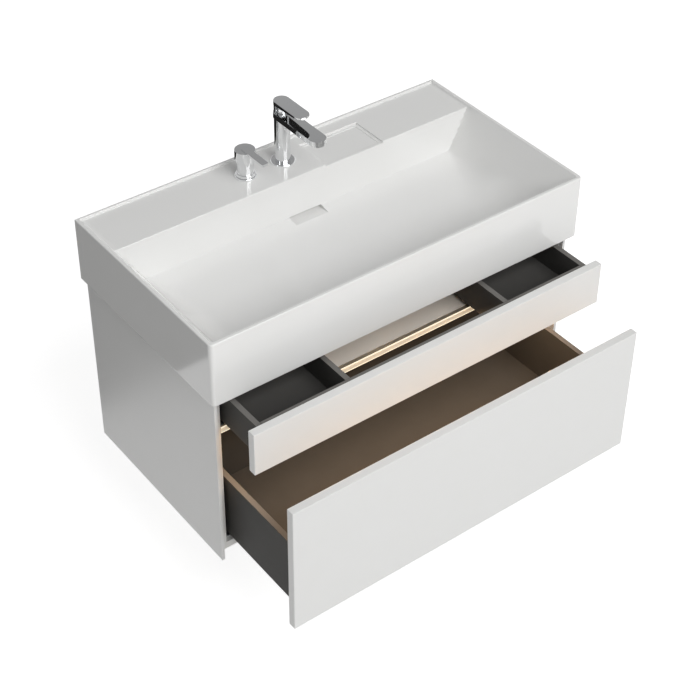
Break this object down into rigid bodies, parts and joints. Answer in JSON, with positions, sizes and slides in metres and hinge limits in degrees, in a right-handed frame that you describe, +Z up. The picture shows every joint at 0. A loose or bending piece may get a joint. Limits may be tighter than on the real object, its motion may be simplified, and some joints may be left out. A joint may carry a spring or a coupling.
{
  "type": "floating vanity",
  "caption": "Wall-hung vanity with a rectangular ceramic washbasin, drawers on telescopic runners, a lever mixer, a soap dispenser and an under-shelf light.",
  "frame": {"origin": "on the wall's plane, midway between the washbasin's two wall bolt holes, 90 mm below the rim", "axes": "+X to the viewer's right along the wall, -Y out of the wall towards the user, +Z up; rest pose has both drawers part open, as pictured"},
  "size_m": [0.9, 0.7368, 0.7107],
  "materials": {
    "glaze": "gloss",
    "lacquer": "satin",
    "carcass_board": "matte",
    "shelf_board": "matte",
    "drawer_board": "matte",
    "steel": "satin",
    "profile_aluminium": "satin",
    "diffuser": "satin",
    "light_strip": "matte",
    "chrome": "polished",
    "pipe_plastic": "satin",
    "bottle_plastic": "satin",
    "latch_plastic": "matte",
    "clear_rubber": "satin"
  },
  "bodies": {
    "cabinet": {"washbasin": "glaze", "basin_pads": "clear_rubber", "side_cover_left": "lacquer", "side_cover_right": "lacquer", "carcass_side_left": "carcass_board", "carcass_side_right": "carcass_board", "bottom_panel": "carcass_board", "divider_shelf": "shelf_board", "rear_rail_upper": "carcass_board", "rear_rail_lower": "carcass_board", "panel_screws": "steel", "hanger_left": "steel", "hanger_right": "steel", "wall_plates": "steel", "led_profile": "profile_aluminium", "led_diffuser": "diffuser", "led_strip": "light_strip", "upper_runner_rails": "steel", "lower_runner_rails": "steel", "touch_latches": "latch_plastic", "waste_body": "chrome", "waste_nut": "chrome", "waste_pipe": "pipe_plastic", "trap_bend": "pipe_plastic", "trap_nuts": "pipe_plastic", "outlet_pipe": "pipe_plastic", "wall_rosette": "chrome", "mixer_body": "chrome", "mixer_rosette": "chrome", "mixer_cartridge": "steel", "mixer_nut": "steel", "aerator": "chrome", "dispenser_neck": "chrome", "dispenser_nut": "pipe_plastic", "pump_barrel": "pipe_plastic", "dip_tube": "pipe_plastic", "soap_bottle": "bottle_plastic"},
    "upper_drawer": {"upper_front": "lacquer", "upper_side_left": "drawer_board", "upper_side_right": "drawer_board", "upper_dividers": "drawer_board", "upper_floors": "drawer_board", "upper_backs": "drawer_board", "upper_front_rail": "drawer_board", "upper_slides": "steel"},
    "lower_drawer": {"lower_front": "lacquer", "lower_side_left": "drawer_board", "lower_side_right": "drawer_board", "lower_back": "drawer_board", "lower_floor": "drawer_board", "lower_slides": "steel"},
    "upper_middle": {"upper_middle_members": "steel"},
    "lower_middle": {"lower_middle_members": "steel"},
    "lever_hub": {"lever_hub": "chrome"},
    "lever": {"mixer_lever": "chrome"},
    "pump_stem": {"pump_stem": "pipe_plastic"},
    "pump_head": {"pump_head": "chrome"},
    "plug": {"waste_plug": "chrome"},
    "upper_latch": {"upper_latch_plunger": "latch_plastic"},
    "lower_latch": {"lower_latch_plunger": "latch_plastic"}
  },
  "joints": [
    {"name": "upper_drawer_slide", "type": "slide", "parent": "cabinet", "child": "upper_drawer", "axis": [0, -1, 0], "range_m": [-0.1166, 0.2134]},
    {"name": "lower_drawer_slide", "type": "slide", "parent": "cabinet", "child": "lower_drawer", "axis": [0, -1, 0], "range_m": [-0.2344, 0.0956]},
    {"name": "upper_runner_slide", "type": "slide", "parent": "cabinet", "child": "upper_middle", "axis": [0, -1, 0], "range_m": [-0.0583, 0.1067]},
    {"name": "lower_runner_slide", "type": "slide", "parent": "cabinet", "child": "lower_middle", "axis": [0, -1, 0], "range_m": [-0.1172, 0.0478]},
    {"name": "lever_swivel", "type": "hinge", "parent": "cabinet", "child": "lever_hub", "pos_m": [0, -0.065, 0.21], "axis": [0, 0, 1], "range_deg": [-45, 45]},
    {"name": "lever_lift", "type": "hinge", "parent": "lever_hub", "child": "lever", "pos_m": [0, -0.057, 0.2075], "axis": [-1, 0, 0], "range_deg": [0, 20]},
    {"name": "pump_press", "type": "slide", "parent": "cabinet", "child": "pump_stem", "axis": [0, 0, -1], "range_m": [0, 0.011], "stiffness_N_per_m": 800, "springref_m": -0.006},
    {"name": "pump_turn", "type": "hinge", "parent": "pump_stem", "child": "pump_head", "pos_m": [-0.092, -0.065, 0.13], "axis": [0, 0, 1], "continuous": true},
    {"name": "plug_lift", "type": "slide", "parent": "cabinet", "child": "plug", "axis": [0, 0, 1], "range_m": [0, 0.008]},
    {"name": "upper_latch_push", "type": "slide", "parent": "cabinet", "child": "upper_latch", "axis": [0, -1, 0], "range_m": [0, 0.004]},
    {"name": "lower_latch_push", "type": "slide", "parent": "cabinet", "child": "lower_latch", "axis": [0, -1, 0], "range_m": [0, 0.004]}
  ],
  "couplings": [
    {"joint": "upper_runner_slide", "follows": "upper_drawer_slide", "ratio": 0.5},
    {"joint": "lower_runner_slide", "follows": "lower_drawer_slide", "ratio": 0.5}
  ]
}
